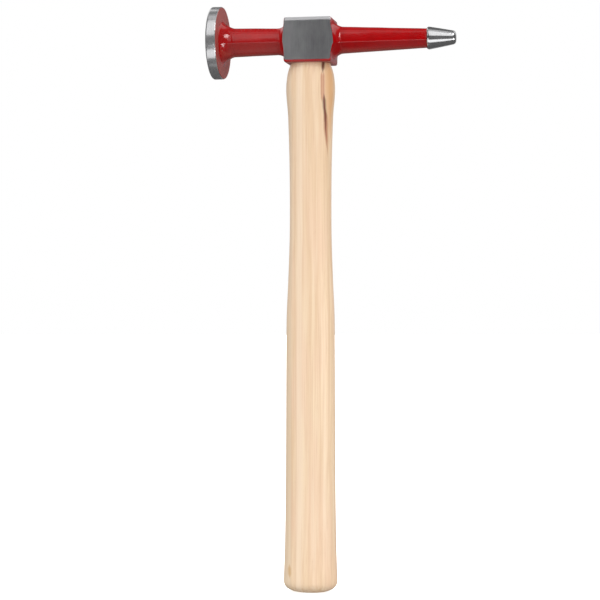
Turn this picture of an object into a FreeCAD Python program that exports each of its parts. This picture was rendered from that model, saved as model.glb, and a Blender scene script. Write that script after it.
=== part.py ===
import FreeCAD, Part
import math
import os

# Body worker's hammer: a one-piece forged head with a round face and a blunt round peen,
# hung on a wedged hickory handle.
# Millimetres. +Z runs up the handle, the origin is the centre of the butt end, -X is the
# striking face, +X is the peen, and the hammer is symmetrical about the XZ plane.

V = FreeCAD.Vector
PARTS_FOLDER = "parts"

# Head, places along X
FACE_X = -55.2            # striking face
DISC_BACK_X = -49.6       # back of the striking disc
FLARE_END_X = -41.8       # where the cone behind the disc has run out inside the neck
EYE_HALF_LENGTH = 12.9    # eye block, half its length
TIP_BASE_X = 64.8         # start of the bare peen tip
TIP_END_X = 80.3          # end of the peen

# Head, radii about its axis
HEAD_AXIS_Z = 303.6
DISC_RADIUS = 20.0
DISC_FRONT_EDGE = 1.0
DISC_BACK_EDGE = 0.3
FLARE_RADIUS = 10.2       # cone where it leaves the back of the disc
FLARE_END_RADIUS = 6.6
NECK_RADIUS_AT_DISC = 7.75
NECK_RADIUS_AT_EYE = 6.9
ARM_RADIUS_AT_EYE = 7.3
ARM_RADIUS_AT_TIP = 4.9
TIP_BASE_RADIUS = 6.35
TIP_END_RADIUS = 3.5
TIP_BASE_EDGE = 0.8
TIP_END_EDGE = 1.7

# Eye block
EYE_BOTTOM_Z = 291.2
HEAD_TOP_Z = 315.5
EYE_HALF_DEPTH = 11.5     # to the ground cheeks
EYE_TOP_CHAMFER = 1.9     # along the cheeks
EYE_TOP_END_EDGE = 0.8
EYE_BOTTOM_EDGE = 1.2

# Roots, where the neck and the arm spread out into the eye block
ROOT_RISE = 4.0           # radius above and below
NECK_ROOT_SPREAD = 8.0    # radius in front and behind
ARM_ROOT_SPREAD = 9.0
ROOT_ANGLES = (0, 25, 45, 65, 90)
ROOT_OVERLAP = 2.0        # how far a limb runs on inside the block
LIMB_OVERLAP = 1.5        # and inside the disc or the tip

# Section of the neck and the arm, as fractions of its half height and half depth
NECK_RIDGE_DROP = 0.14    # from the axis down to the trim line
ARM_RIDGE_DROP = 0.28
KEEL_DEPTH = 0.50         # where the slanted flank ends and the rounded underside begins
KEEL_DROP = 0.88
BACK_STEPS = 8            # spans of the round back

# Enamel
COAT = 0.3
BARE_RING = 0.3           # left bare at the edge of the disc's back

# Eye: half length along X and half depth along Y
EYE_WAIST_Z = 299.0
EYE_MOUTH = (9.7, 7.1)
EYE_WAIST = (9.2, 6.6)
EYE_TOP = (10.2, 7.8)

# Wedges
WOOD_WEDGE_DEPTH = 18.0
WOOD_WEDGE_HALF_TOP = 1.7
WOOD_WEDGE_HALF_END = 0.4
STEEL_WEDGE_DEPTH = 12.5
STEEL_WEDGE_HALF_TOP = 1.0
STEEL_WEDGE_HALF_END = 0.15
STEEL_WEDGE_HALF_WIDTH = 5.0
STEEL_WEDGE_X = 4.6

# Handle: height, half width along X and half depth along Y
BUTT_DOME = 7.0
BUTT_SECTION = (14.85, 11.3)
BUTT_TURNS = (58, 45, 30, 15, 0)
BUTT_FLAT = 0.36          # flat on the butt, as a fraction of the butt's section
BUTT_SHARPNESS = 2.45
HANDLE_STATIONS = (
    (22.0, 14.32, 10.9),
    (45.0, 13.9, 10.5),
    (85.0, 13.62, 10.2),
    (130.0, 13.42, 10.1),
    (152.0, 13.2, 10.0),
    (172.0, 12.3, 9.7),
    (194.0, 11.55, 9.4),
    (215.0, 11.42, 9.3),
    (240.0, 11.7, 9.4),
    (262.0, 12.4, 9.7),
    (280.5, 13.32, 9.9),
    (286.5, 12.42, 9.6),
)
SHOULDER_SECTION = (10.9, 8.7)
OVAL_SHARPNESS = 2.3      # 2 is an ellipse, and more is flatter on its four sides
OVAL_STEPS = 24


def axis_point(x):
    """Point of the head's axis."""
    return V(x, 0, HEAD_AXIS_Z)


def block(low, high):
    """Box between two corners."""
    size = high - low
    return Part.makeBox(size.x, size.y, size.z, low)


def edges_where(solid, chosen):
    """Edges of a solid whose box chosen accepts."""
    return [edge for edge in solid.Edges if chosen(edge.BoundBox)]


def runs_along(box, axis):
    """True for the box of a straight edge that runs along one axis."""
    spans = {"x": box.XLength, "y": box.YLength, "z": box.ZLength}
    return spans.pop(axis) > 1 and max(spans.values()) < 0.01


def loft(sections, ruled=False):
    return Part.makeLoft(sections, True, ruled)


# ---- Head ----

def striking_disc():
    disc = Part.makeCylinder(DISC_RADIUS, DISC_BACK_X - FACE_X, axis_point(FACE_X), V(1, 0, 0))
    middle = (FACE_X + DISC_BACK_X) / 2
    disc = disc.makeFillet(DISC_FRONT_EDGE, edges_where(disc, lambda b: b.XMax < middle))
    return disc.makeFillet(
        DISC_BACK_EDGE,
        edges_where(disc, lambda b: b.XMin > middle and b.ZLength > DISC_RADIUS),
    )


def flare(coat):
    """Cone from the back of the disc into the neck."""
    return Part.makeCone(
        FLARE_RADIUS + coat,
        FLARE_END_RADIUS + coat,
        FLARE_END_X - DISC_BACK_X,
        axis_point(DISC_BACK_X),
        V(1, 0, 0),
    )


def limb_section(x, half_height, half_depth, ridge_drop):
    """Section across the head: a round back down to a ridge on each side, then slanted flanks."""
    ridge_z = HEAD_AXIS_Z - ridge_drop * half_height
    rise = HEAD_AXIS_Z + half_height - ridge_z
    turns = [math.pi * i / BACK_STEPS for i in range(BACK_STEPS + 1)]
    points = [V(x, half_depth * math.cos(t), ridge_z + rise * math.sin(t)) for t in turns]
    back = Part.BSplineCurve()
    back.interpolate(Points=points, InitialTangent=V(0, 0, 1), FinalTangent=V(0, 0, -1))
    front_keel = V(x, -KEEL_DEPTH * half_depth, HEAD_AXIS_Z - KEEL_DROP * half_height)
    rear_keel = V(x, KEEL_DEPTH * half_depth, HEAD_AXIS_Z - KEEL_DROP * half_height)
    bottom = V(x, 0, HEAD_AXIS_Z - half_height)
    return Part.Wire([
        back.toShape(),
        Part.makeLine(points[-1], front_keel),
        Part.Arc(front_keel, bottom, rear_keel).toShape(),
        Part.makeLine(rear_keel, points[0]),
    ])


def hollow_round(distance, radius):
    """Height that a concave quarter round still has at a distance from its wall."""
    if distance >= radius:
        return 0.0
    return radius - math.sqrt(radius ** 2 - (radius - distance) ** 2)


def limb(side, far_x, far_radius, eye_radius, spread, ridge_drop, coat):
    """Neck (side -1) or arm (side +1), from the eye block out to far_x."""
    wall_x = side * (EYE_HALF_LENGTH + coat)
    length = abs(far_x - wall_x)

    def section(distance, half_height, half_depth):
        return limb_section(wall_x + side * distance, half_height, half_depth, ridge_drop)

    def radius_at(distance):
        return coat + eye_radius + (far_radius - eye_radius) * distance / length

    wall_radius = radius_at(0)
    root = [section(-ROOT_OVERLAP, wall_radius + ROOT_RISE, wall_radius + spread)]
    for angle in ROOT_ANGLES:
        turn = math.radians(angle)
        distance = spread * (1 - math.cos(turn))
        radius = radius_at(distance)
        half_height = radius + hollow_round(distance, ROOT_RISE)
        root.append(section(distance, half_height, radius + spread * (1 - math.sin(turn))))
    shank = [root[-1], section(length, radius_at(length), radius_at(length))]
    return loft(root).fuse(loft(shank, ruled=True))


def neck(coat):
    return limb(-1, DISC_BACK_X - LIMB_OVERLAP, NECK_RADIUS_AT_DISC, NECK_RADIUS_AT_EYE,
                NECK_ROOT_SPREAD, NECK_RIDGE_DROP, coat)


def arm(coat):
    return limb(1, TIP_BASE_X + LIMB_OVERLAP, ARM_RADIUS_AT_TIP, ARM_RADIUS_AT_EYE,
                ARM_ROOT_SPREAD, ARM_RIDGE_DROP, coat)


def eye_block(coat):
    """Block around the eye, with its cheeks and its top cut flat through the enamel."""
    low = V(-EYE_HALF_LENGTH - coat, -EYE_HALF_DEPTH, EYE_BOTTOM_Z - coat)
    high = V(EYE_HALF_LENGTH + coat, EYE_HALF_DEPTH, HEAD_TOP_Z)
    body = block(low, high)
    body = body.makeFillet(
        EYE_BOTTOM_EDGE,
        edges_where(body, lambda b: b.ZMax < HEAD_AXIS_Z),
    )
    body = body.makeChamfer(
        EYE_TOP_CHAMFER,
        edges_where(body, lambda b: b.ZMin > HEAD_TOP_Z - 0.01 and runs_along(b, "x")),
    )
    return body.makeFillet(
        EYE_TOP_END_EDGE,
        edges_where(body, lambda b: b.ZMin > HEAD_TOP_Z - 0.01 and runs_along(b, "y")),
    )


def between_cheeks():
    """The slab between the planes of the ground cheeks."""
    return block(
        V(FACE_X, -EYE_HALF_DEPTH, HEAD_AXIS_Z - DISC_RADIUS),
        V(TIP_END_X, EYE_HALF_DEPTH, HEAD_AXIS_Z + DISC_RADIUS),
    )


def peen_tip():
    tip = Part.makeCone(TIP_BASE_RADIUS, TIP_END_RADIUS, TIP_END_X - TIP_BASE_X,
                        axis_point(TIP_BASE_X), V(1, 0, 0))
    middle = (TIP_BASE_X + TIP_END_X) / 2
    tip = tip.makeFillet(TIP_BASE_EDGE, edges_where(tip, lambda b: b.XMax < middle))
    return tip.makeFillet(TIP_END_EDGE, edges_where(tip, lambda b: b.XMin > middle))


def eye():
    """The oval hole, wider at the mouth and widest at the top, that the handle fills."""
    def ring(z, half_sizes):
        major, minor = half_sizes
        return Part.Wire(Part.Ellipse(V(major, 0, z), V(0, minor, z), V(0, 0, z)).toShape())

    lower = loft([ring(EYE_BOTTOM_Z - COAT, EYE_MOUTH), ring(EYE_WAIST_Z, EYE_WAIST)], ruled=True)
    upper = loft([ring(EYE_WAIST_Z, EYE_WAIST), ring(HEAD_TOP_Z, EYE_TOP)], ruled=True)
    return lower.fuse(upper)


def head_forging():
    limbs = neck(0).fuse(arm(0)).common(between_cheeks())
    solid = eye_block(0).fuse([limbs, flare(0), striking_disc(), peen_tip()])
    return solid.cut(eye()).removeSplitter()


def red_enamel_coat(forging):
    """Skin over the forging between the disc's edge and the peen tip, ground off the cheeks."""
    disc_back = Part.makeCylinder(DISC_RADIUS - BARE_RING, COAT, axis_point(DISC_BACK_X), V(1, 0, 0))
    limbs = neck(COAT).fuse(arm(COAT)).common(between_cheeks())
    outside = eye_block(COAT).fuse([limbs, flare(COAT), disc_back])
    skin = outside.cut(forging).cut(eye())
    return max(skin.Solids, key=lambda s: s.Volume)


# ---- Handle and wedges ----

def oval(z, half_width, half_depth):
    """Closed oval section of the handle."""
    points = []
    for i in range(OVAL_STEPS):
        turn = 2 * math.pi * i / OVAL_STEPS
        c = math.cos(turn)
        s = math.sin(turn)
        x = half_width * math.copysign(abs(c) ** (2 / OVAL_SHARPNESS), c)
        y = half_depth * math.copysign(abs(s) ** (2 / OVAL_SHARPNESS), s)
        points.append(V(x, y, z))
    curve = Part.BSplineCurve()
    curve.interpolate(Points=points, PeriodicFlag=True)
    return Part.Wire(curve.toShape())


def butt_dome():
    """Rounded end of the handle, down to the small flat that it stands on."""
    sections = [oval(0, BUTT_SECTION[0] * BUTT_FLAT, BUTT_SECTION[1] * BUTT_FLAT)]
    for angle in BUTT_TURNS:
        turn = math.radians(angle)
        size = math.cos(turn) ** (2 / BUTT_SHARPNESS)
        z = BUTT_DOME * (1 - math.sin(turn) ** (2 / BUTT_SHARPNESS))
        sections.append(oval(z, BUTT_SECTION[0] * size, BUTT_SECTION[1] * size))
    return loft(sections)


def grip():
    sections = [oval(BUTT_DOME, *BUTT_SECTION)]
    sections += [oval(*station) for station in HANDLE_STATIONS]
    sections.append(oval(EYE_BOTTOM_Z - COAT, *SHOULDER_SECTION))
    return loft(sections)


def wedge_prism(half_top, half_end, depth, half_width, along):
    """Tapered wedge hanging from the top of the head at X = 0, its width running along an axis."""
    outline = [(-half_top, HEAD_TOP_Z), (half_top, HEAD_TOP_Z),
               (half_end, HEAD_TOP_Z - depth), (-half_end, HEAD_TOP_Z - depth)]
    if along == "x":
        corners = [V(-half_width, thick, z) for thick, z in outline]
        travel = V(2 * half_width, 0, 0)
    else:
        corners = [V(thick, -half_width, z) for thick, z in outline]
        travel = V(0, 2 * half_width, 0)
    return Part.Face(Part.makePolygon(corners + corners[:1])).extrude(travel)


def steel_wedge(x):
    wedge = wedge_prism(STEEL_WEDGE_HALF_TOP, STEEL_WEDGE_HALF_END, STEEL_WEDGE_DEPTH,
                        STEEL_WEDGE_HALF_WIDTH, "y")
    wedge.translate(V(x, 0, 0))
    return wedge


def wooden_wedge(steel_wedges):
    """Fills the saw kerf along the eye, and the steel wedges are driven across it."""
    wedge = wedge_prism(WOOD_WEDGE_HALF_TOP, WOOD_WEDGE_HALF_END, WOOD_WEDGE_DEPTH,
                        EYE_HALF_LENGTH, "x")
    return wedge.common(eye()).cut(steel_wedges)


def hickory_handle(wedges):
    return grip().fuse([butt_dome(), eye()]).cut(wedges).removeSplitter()


def save(name, shape):
    """Writes one closed solid as a STEP file of its own."""
    solid = shape.Solids[0]
    if len(shape.Solids) != 1 or not solid.isValid():
        raise ValueError(f"{name} isn't one sound solid")
    solid.exportStep(os.path.join(PARTS_FOLDER, name + ".step"))
    box = solid.optimalBoundingBox()
    print(f"{name}: {solid.Volume:.0f} mm3, X {box.XMin:.1f} to {box.XMax:.1f}, "
          f"Y {box.YMin:.1f} to {box.YMax:.1f}, Z {box.ZMin:.1f} to {box.ZMax:.1f}")


os.makedirs(PARTS_FOLDER, exist_ok=True)

forging = head_forging()
near_face_wedge = steel_wedge(-STEEL_WEDGE_X)
near_peen_wedge = steel_wedge(STEEL_WEDGE_X)
wood_wedge = wooden_wedge([near_face_wedge, near_peen_wedge])

save("head_forging", forging)
save("red_enamel_coat", red_enamel_coat(forging))
save("hickory_handle", hickory_handle([wood_wedge, near_face_wedge, near_peen_wedge]))
save("wooden_wedge", wood_wedge)
save("steel_wedge_face_side", near_face_wedge)
save("steel_wedge_peen_side", near_peen_wedge)
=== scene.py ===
import math

import bmesh
import bpy
import numpy as np
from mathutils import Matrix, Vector, noise

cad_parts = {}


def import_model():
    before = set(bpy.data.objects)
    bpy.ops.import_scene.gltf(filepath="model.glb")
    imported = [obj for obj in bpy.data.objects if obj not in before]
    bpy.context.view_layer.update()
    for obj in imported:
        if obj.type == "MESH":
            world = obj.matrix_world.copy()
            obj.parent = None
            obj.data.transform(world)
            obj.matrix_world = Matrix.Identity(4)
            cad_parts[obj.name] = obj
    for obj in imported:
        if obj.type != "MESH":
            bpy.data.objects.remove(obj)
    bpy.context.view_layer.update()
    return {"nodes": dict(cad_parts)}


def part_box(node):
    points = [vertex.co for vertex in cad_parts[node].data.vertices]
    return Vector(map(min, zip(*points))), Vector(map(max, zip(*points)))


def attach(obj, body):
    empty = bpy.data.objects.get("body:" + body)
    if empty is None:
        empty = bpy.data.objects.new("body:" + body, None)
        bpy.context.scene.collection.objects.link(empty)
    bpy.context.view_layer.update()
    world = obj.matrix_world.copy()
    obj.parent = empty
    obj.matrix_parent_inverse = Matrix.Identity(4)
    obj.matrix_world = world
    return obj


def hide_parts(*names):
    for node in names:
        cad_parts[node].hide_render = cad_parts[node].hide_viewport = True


# A panel-beating hammer. Metres, +Z up the handle, the butt's flat at the origin, -X the
# striking face, +X the round peen.

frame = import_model()

MM = 0.001
BODY = "root"

# ---- Places taken from the frame ----

head_low, head_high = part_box("head_forging")
coat_low, coat_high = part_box("red_enamel_coat")
wood_wedge_low, wood_wedge_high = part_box("wooden_wedge")

FACE_X = head_low.x
PEEN_END_X = head_high.x
AXIS_Z = (head_low.z + head_high.z) / 2
DISC_RADIUS = (head_high.z - head_low.z) / 2
DISC_BACK_X = coat_low.x
TIP_BASE_X = coat_high.x
HEAD_TOP_Z = wood_wedge_high.z

# ---- Sizes of the head ----

COAT = 0.3 * MM                 # enamel
COAT_GAP = 0.02 * MM            # between the enamel's inside and the steel
DISC_FRONT_EDGE = 1.0 * MM      # radii of the disc's rounded edges
DISC_BACK_EDGE = 0.3 * MM
BARE_RING = 0.35 * MM           # steel left bare round the back of the disc
FLARE_RADIUS = 10.2 * MM
FLARE_FILLET = 1.4 * MM         # out to where the flare meets the back of the disc
FLARE_LENGTH = 6.8 * MM
FLARE_BELLY = 0.7 * MM          # fullness of the flare near the disc and near the neck
FLARE_RUN_OUT = 0.45 * MM
FLARE_TAIL = 0.4                # of the flare's length, over which it turns into the neck
NECK_RADIUS_AT_DISC = 7.65 * MM
NECK_RADIUS_AT_EYE = 6.9 * MM
ARM_RADIUS_AT_EYE = 7.3 * MM
ARM_RADIUS_AT_TIP = 4.95 * MM
TIP_FILLET = 0.7 * MM           # enamel built up where the arm meets the tip
TIP_BASE_RADIUS = 6.35 * MM
TIP_END_RADIUS = 3.5 * MM
TIP_BASE_EDGE = 0.8 * MM
TIP_END_EDGE = 1.7 * MM
TIP_BELLY = 0.12 * MM
EYE_HALF_LENGTH = 12.9 * MM
EYE_HALF_DEPTH = 11.5 * MM
EYE_BOTTOM_Z = 291.2 * MM
CHAMFER_HEIGHT = 1.9 * MM
CHAMFER_DEPTH = 0.95 * MM
EYE_TOP_EDGE = 0.8 * MM
EYE_BOTTOM_EDGE = 1.0 * MM
GROUND_EDGE = 0.3 * MM          # softening of the ground block's long edges
ROOT_RISE = 6.0 * MM            # radius above and below a limb where it meets the eye block
ROOT_ROOM = 10.9 * MM           # how far above and below the axis that hollow may reach
NECK_ROOT = (3.6 * MM, 13.0 * MM)   # the hollow beside the neck: length along X, spread in Y
ARM_ROOT = (5.2 * MM, 14.0 * MM)    # and beside the arm
END_COAT = 0.12 * MM            # the enamel is thinner on the eye block's end walls
NECK_RIDGE_DROP = 0.14          # of the half height, from the axis down to the trim line
ARM_RIDGE_DROP = 0.28
RIDGE_SOFTENING = 0.35 * MM
KEEL_DEPTH = 0.50               # of the half depth, out to where the flank turns under
KEEL_DROP = 0.88                # of the half height, down to there
FLANK_STRAIGHT = 0.85           # of the flank, before it starts to turn
KEEL_ROUNDING = 0.75            # of the keel's depth, where the underside turns level
FORGING_WAVES = 0.05 * MM
FORGING_WAVELENGTH = 9 * MM
WAVES_FROM_BLOCK = 6 * MM       # lengths over which the waves fade out
WAVES_FROM_DISC = 7 * MM
WAVES_FROM_TIP = 5 * MM

# Eye: half length and half depth of its oval at three heights
EYE_MOUTH = (9.7 * MM, 7.1 * MM)
EYE_WAIST = (9.2 * MM, 6.6 * MM)
EYE_TOP = (10.2 * MM, 7.8 * MM)
EYE_WAIST_Z = 299.0 * MM
FIT = 0.02 * MM                 # clearance left around the tenon and the wedges
WOOD_WEDGE_HALF_END = 0.4 * MM
STEEL_WEDGE_HALF_END = 0.15 * MM
KERF_OVERRUN = 1.0 * MM         # the kerf is longer than its wedge by this at each end
TENON_SUNK = 0.06 * MM          # end grain stands just under the ground top of the head

# Handle: sharpness 2 is an ellipse, and more is squarer
BUTT_DOME = 7.0 * MM            # height of the domed end
BUTT_FLAT = 0.36                # of the dome's width
BUTT_SHARPNESS = 2.8            # of the dome's outline
HANDLE_SHARPNESS = 2.3          # of the handle's section
HANDLE_STATIONS = MM * np.array((   # height, half width and half depth
    (7.0, 14.85, 11.3),
    (22.0, 14.32, 10.9),
    (45.0, 13.9, 10.5),
    (85.0, 13.62, 10.2),
    (130.0, 13.42, 10.1),
    (152.0, 13.2, 10.0),
    (172.0, 12.3, 9.7),
    (194.0, 11.55, 9.4),
    (215.0, 11.42, 9.3),
    (240.0, 11.7, 9.4),
    (262.0, 12.4, 9.7),
    (280.5, 13.32, 9.9),
    (286.5, 12.42, 9.6),
    (290.9, 10.9, 8.7),
))
HANDLE_COLUMNS = 96
GRIP_RINGS = 150
DOME_RINGS = 16
FLAT_RINGS = 3
FLAT_INNER = 0.1                # of the dome's width, for the innermost ring of its flat
TENON_STEPS = 4                 # in each half of the tenon

# Columns of the head's mesh, over the front half from top centre to bottom centre
TOP_STEPS = 12
CHAMFER_STEPS = 12
UPPER_CHEEK_STEPS = 10
SIDE_STEPS = 8
LOWER_CHEEK_STEPS = 10
BOTTOM_STEPS = 18
LONG_EDGE_STEPS = 4
FOOT_EDGE_STEPS = 8
WALL_STEPS = 5
UPPER_STEPS = TOP_STEPS + CHAMFER_STEPS + UPPER_CHEEK_STEPS
LOWER_STEPS = LOWER_CHEEK_STEPS + BOTTOM_STEPS
HALF_STEPS = UPPER_STEPS + SIDE_STEPS + LOWER_STEPS
RIDGE_HALF_TURN = 2.0           # degrees that the side steps take up, each way, on a round

# Steps along the head
EDGE_STEPS = 8                  # round a quarter-round edge
FLARE_STEPS = 24
ROOT_STEPS = 30
LIMB_STEPS = 43
FILLET_STEPS = 6
BODY_STEPS = 14

MERGE_DISTANCE = 0.0001 * MM    # points closer than this are one point
HEAD_SHARP = 25                 # degrees above which an edge stays sharp
ENAMEL_SHARP = 40
HANDLE_SHARP = 35
CUTTER_SHARP = 30


# ---- Curves and meshes ----

def line(start, end, steps):
    """Points from start to end, both included."""
    t = np.linspace(0, 1, steps + 1)[:, None]
    return np.asarray(start) * (1 - t) + np.asarray(end) * t


def bezier(points, steps):
    """Points of the Bezier curve with these control points, both ends included."""
    t = np.linspace(0, 1, steps + 1)[:, None]
    rows = [np.asarray(p, float)[None, :] for p in points]
    while len(rows) > 1:
        rows = [a * (1 - t) + b * t for a, b in zip(rows, rows[1:])]
    return rows[0]


def unit(v):
    return v / np.linalg.norm(v)


def rounded(before, corner, after, radius, steps):
    """Arc that rounds the corner between two straight runs."""
    corner = np.asarray(corner, float)
    back = unit(np.asarray(before) - corner)
    on = unit(np.asarray(after) - corner)
    half = math.acos(np.clip(back @ on, -1, 1)) / 2
    reach = radius / math.tan(half)
    centre = corner + unit(back + on) * radius / math.sin(half)
    start = corner + back * reach - centre
    end = corner + on * reach - centre
    sweep = math.acos(np.clip(unit(start) @ unit(end), -1, 1))
    t = np.linspace(0, 1, steps + 1)[:, None]
    return centre + (np.sin((1 - t) * sweep) * start + np.sin(t * sweep) * end) / math.sin(sweep)


def joined(*runs):
    """Runs of points end to end, with each shared end kept once."""
    return np.vstack([runs[0]] + [run[1:] for run in runs[1:]])


def smooth_through(rows, at):
    """Smooth curve through (place, value, ...) rows, read at other places."""
    places = rows[:, 0]
    values = rows[:, 1:]
    slopes = np.gradient(values, places, axis=0)
    i = np.clip(np.searchsorted(places, at) - 1, 0, len(places) - 2)
    span = (places[i + 1] - places[i])[:, None]
    t = (at[:, None] - places[i][:, None]) / span
    return ((2 * t**3 - 3 * t**2 + 1) * values[i] + (t**3 - 2 * t**2 + t) * span * slopes[i]
            + (3 * t**2 - 2 * t**3) * values[i + 1] + (t**3 - t**2) * span * slopes[i + 1])


def grid_faces(rings, columns):
    """Quads between closed rings of points, as an array of (span, column, corner)."""
    ring, column = np.meshgrid(np.arange(rings - 1), np.arange(columns), indexing="ij")
    after = (column + 1) % columns
    return np.stack([ring * columns + column, ring * columns + after,
                     (ring + 1) * columns + after, (ring + 1) * columns + column], axis=-1)


def new_piece(name, verts, faces):
    mesh = bpy.data.meshes.new(name)
    mesh.from_pydata(np.asarray(verts).tolist(), [], [list(map(int, f)) for f in faces])
    piece = bpy.data.objects.new(name, mesh)
    bpy.context.scene.collection.objects.link(piece)
    return piece


def lofted(name, rings):
    """Closed solid through rings of points, with a flat face at each end."""
    rings = np.asarray(rings)
    count, columns, _ = rings.shape
    faces = grid_faces(count, columns).reshape(-1, 4).tolist()
    faces.append(list(range(columns)))
    faces.append(list(range((count - 1) * columns, count * columns)))
    return new_piece(name, rings.reshape(-1, 3), faces)


def tidied(piece, sharp_degrees):
    """Merges doubled points, turns faces outwards and smooths all but the sharp edges."""
    bm = bmesh.new()
    bm.from_mesh(piece.data)
    bmesh.ops.remove_doubles(bm, verts=bm.verts, dist=MERGE_DISTANCE)
    bmesh.ops.dissolve_degenerate(bm, edges=bm.edges, dist=MERGE_DISTANCE)
    bmesh.ops.recalc_face_normals(bm, faces=bm.faces)
    limit = math.radians(sharp_degrees)
    for face in bm.faces:
        face.smooth = True
    for edge in bm.edges:
        edge.smooth = edge.calc_face_angle(0) < limit
    bm.to_mesh(piece.data)
    bm.free()
    return piece


def cut(piece, cutters):
    """Takes the cutters' volumes out of a piece, and removes them."""
    for cutter in cutters:
        tidied(cutter, CUTTER_SHARP)
        boolean = piece.modifiers.new("cut", "BOOLEAN")
        boolean.operation = "DIFFERENCE"
        boolean.solver = "EXACT"
        boolean.object = cutter
    depsgraph = bpy.context.evaluated_depsgraph_get()
    mesh = bpy.data.meshes.new_from_object(piece.evaluated_get(depsgraph), depsgraph=depsgraph)
    piece.modifiers.clear()
    piece.data = mesh
    for cutter in cutters:
        bpy.data.objects.remove(cutter)
    return piece


def even_shading(piece):
    """Keeps flat faces flat where they meet small rounded edges."""
    weighted = piece.modifiers.new("even shading", "WEIGHTED_NORMAL")
    weighted.keep_sharp = True
    return piece


# ---- Sections of the head: (out, up) points from the top centre to the bottom centre ----

def circle_section(radius, ridge_drop):
    """Circle with its columns spread so that they meet a limb's."""
    ridge = -math.degrees(math.atan(ridge_drop))
    side_top = ridge + RIDGE_HALF_TURN
    side_bottom = ridge - RIDGE_HALF_TURN
    turns = joined(
        line([90.0], [side_top], UPPER_STEPS),
        line([side_top], [side_bottom], SIDE_STEPS),
        line([side_bottom], [-90.0], LOWER_STEPS),
    )
    turns = np.radians(turns[:, 0])
    return np.column_stack([radius * np.cos(turns), AXIS_Z + radius * np.sin(turns)])


def limb_section(half_height, half_depth, ridge_drop):
    """Round back, a soft ridge or the ground cheek that cuts it off, and a slanted flank."""
    ridge_z = AXIS_Z - ridge_drop * half_height
    rise = AXIS_Z + half_height - ridge_z
    ridge = np.array([half_depth, ridge_z])
    keel = np.array([KEEL_DEPTH * half_depth, AXIS_Z - KEEL_DROP * half_height])
    flank = keel - ridge
    start = math.asin(RIDGE_SOFTENING / rise)
    share = RIDGE_SOFTENING / np.linalg.norm(flank)
    if half_depth > EYE_HALF_DEPTH:
        start = max(start, math.acos(EYE_HALF_DEPTH / half_depth))
        share = max(share, (half_depth - EYE_HALF_DEPTH) / -flank[0])
    turns = np.linspace(math.pi / 2, start, UPPER_STEPS + 1)
    back = np.column_stack([half_depth * np.cos(turns), ridge_z + rise * np.sin(turns)])
    side_end = ridge + flank * share
    corner = (min(half_depth, EYE_HALF_DEPTH), ridge_z)
    side = bezier([back[-1], corner, side_end], SIDE_STEPS)
    bottom_z = AXIS_Z - half_height
    under = bezier([
        side_end,
        ridge + flank * FLANK_STRAIGHT,
        (KEEL_DEPTH * half_depth * KEEL_ROUNDING, bottom_z),
        (0, bottom_z),
    ], LOWER_STEPS)
    return joined(back, side, under)


def block_section(coat, side_top_z, side_bottom_z, top_inset=0.0, bottom_inset=0.0):
    """Top, chamfer, flat cheek, rounded foot and underside of the eye block."""
    top = HEAD_TOP_Z - top_inset
    bottom = EYE_BOTTOM_Z - coat + bottom_inset
    top_centre = (0, top)
    chamfer_in = (EYE_HALF_DEPTH - CHAMFER_DEPTH, top)
    chamfer_out = (EYE_HALF_DEPTH, HEAD_TOP_Z - CHAMFER_HEIGHT - 0.6 * top_inset)
    foot = (EYE_HALF_DEPTH, bottom)
    bottom_centre = (0, bottom)
    upper_edge = rounded(top_centre, chamfer_in, chamfer_out, GROUND_EDGE, LONG_EDGE_STEPS)
    lower_edge = rounded(chamfer_in, chamfer_out, foot, GROUND_EDGE, LONG_EDGE_STEPS)
    foot_edge = rounded(chamfer_out, foot, bottom_centre, EYE_BOTTOM_EDGE, FOOT_EDGE_STEPS)
    side_top = (EYE_HALF_DEPTH, side_top_z)
    side_bottom = (EYE_HALF_DEPTH, side_bottom_z)
    return joined(
        line(top_centre, upper_edge[0], TOP_STEPS),
        upper_edge,
        line(upper_edge[-1], lower_edge[0], CHAMFER_STEPS - 2 * LONG_EDGE_STEPS),
        lower_edge,
        line(lower_edge[-1], side_top, UPPER_CHEEK_STEPS),
        line(side_top, side_bottom, SIDE_STEPS),
        line(side_bottom, foot_edge[0], LOWER_CHEEK_STEPS),
        foot_edge,
        line(foot_edge[-1], bottom_centre, BOTTOM_STEPS - FOOT_EDGE_STEPS),
    )


# ---- Rings of the head: place along X, section, and which of its steps are enamelled ----

BARE = np.zeros(HALF_STEPS, bool)
PAINTED = ~BARE
SIDES_BARE = PAINTED.copy()
SIDES_BARE[UPPER_STEPS:UPPER_STEPS + SIDE_STEPS] = False
UNDERSIDE_PAINTED = BARE.copy()
UNDERSIDE_PAINTED[-BOTTOM_STEPS:] = True
ENDS_PAINTED = UNDERSIDE_PAINTED.copy()
ENDS_PAINTED[:TOP_STEPS] = True
END_EDGES = np.full(HALF_STEPS + 1, EYE_TOP_EDGE)
END_EDGES[UPPER_STEPS + 1:] = EYE_BOTTOM_EDGE


def hollow_round(distance, radius):
    """Height that a concave quarter round still has at a distance from its wall."""
    if distance >= radius:
        return 0.0
    return radius - math.sqrt(radius**2 - (radius - distance) ** 2)


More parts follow.
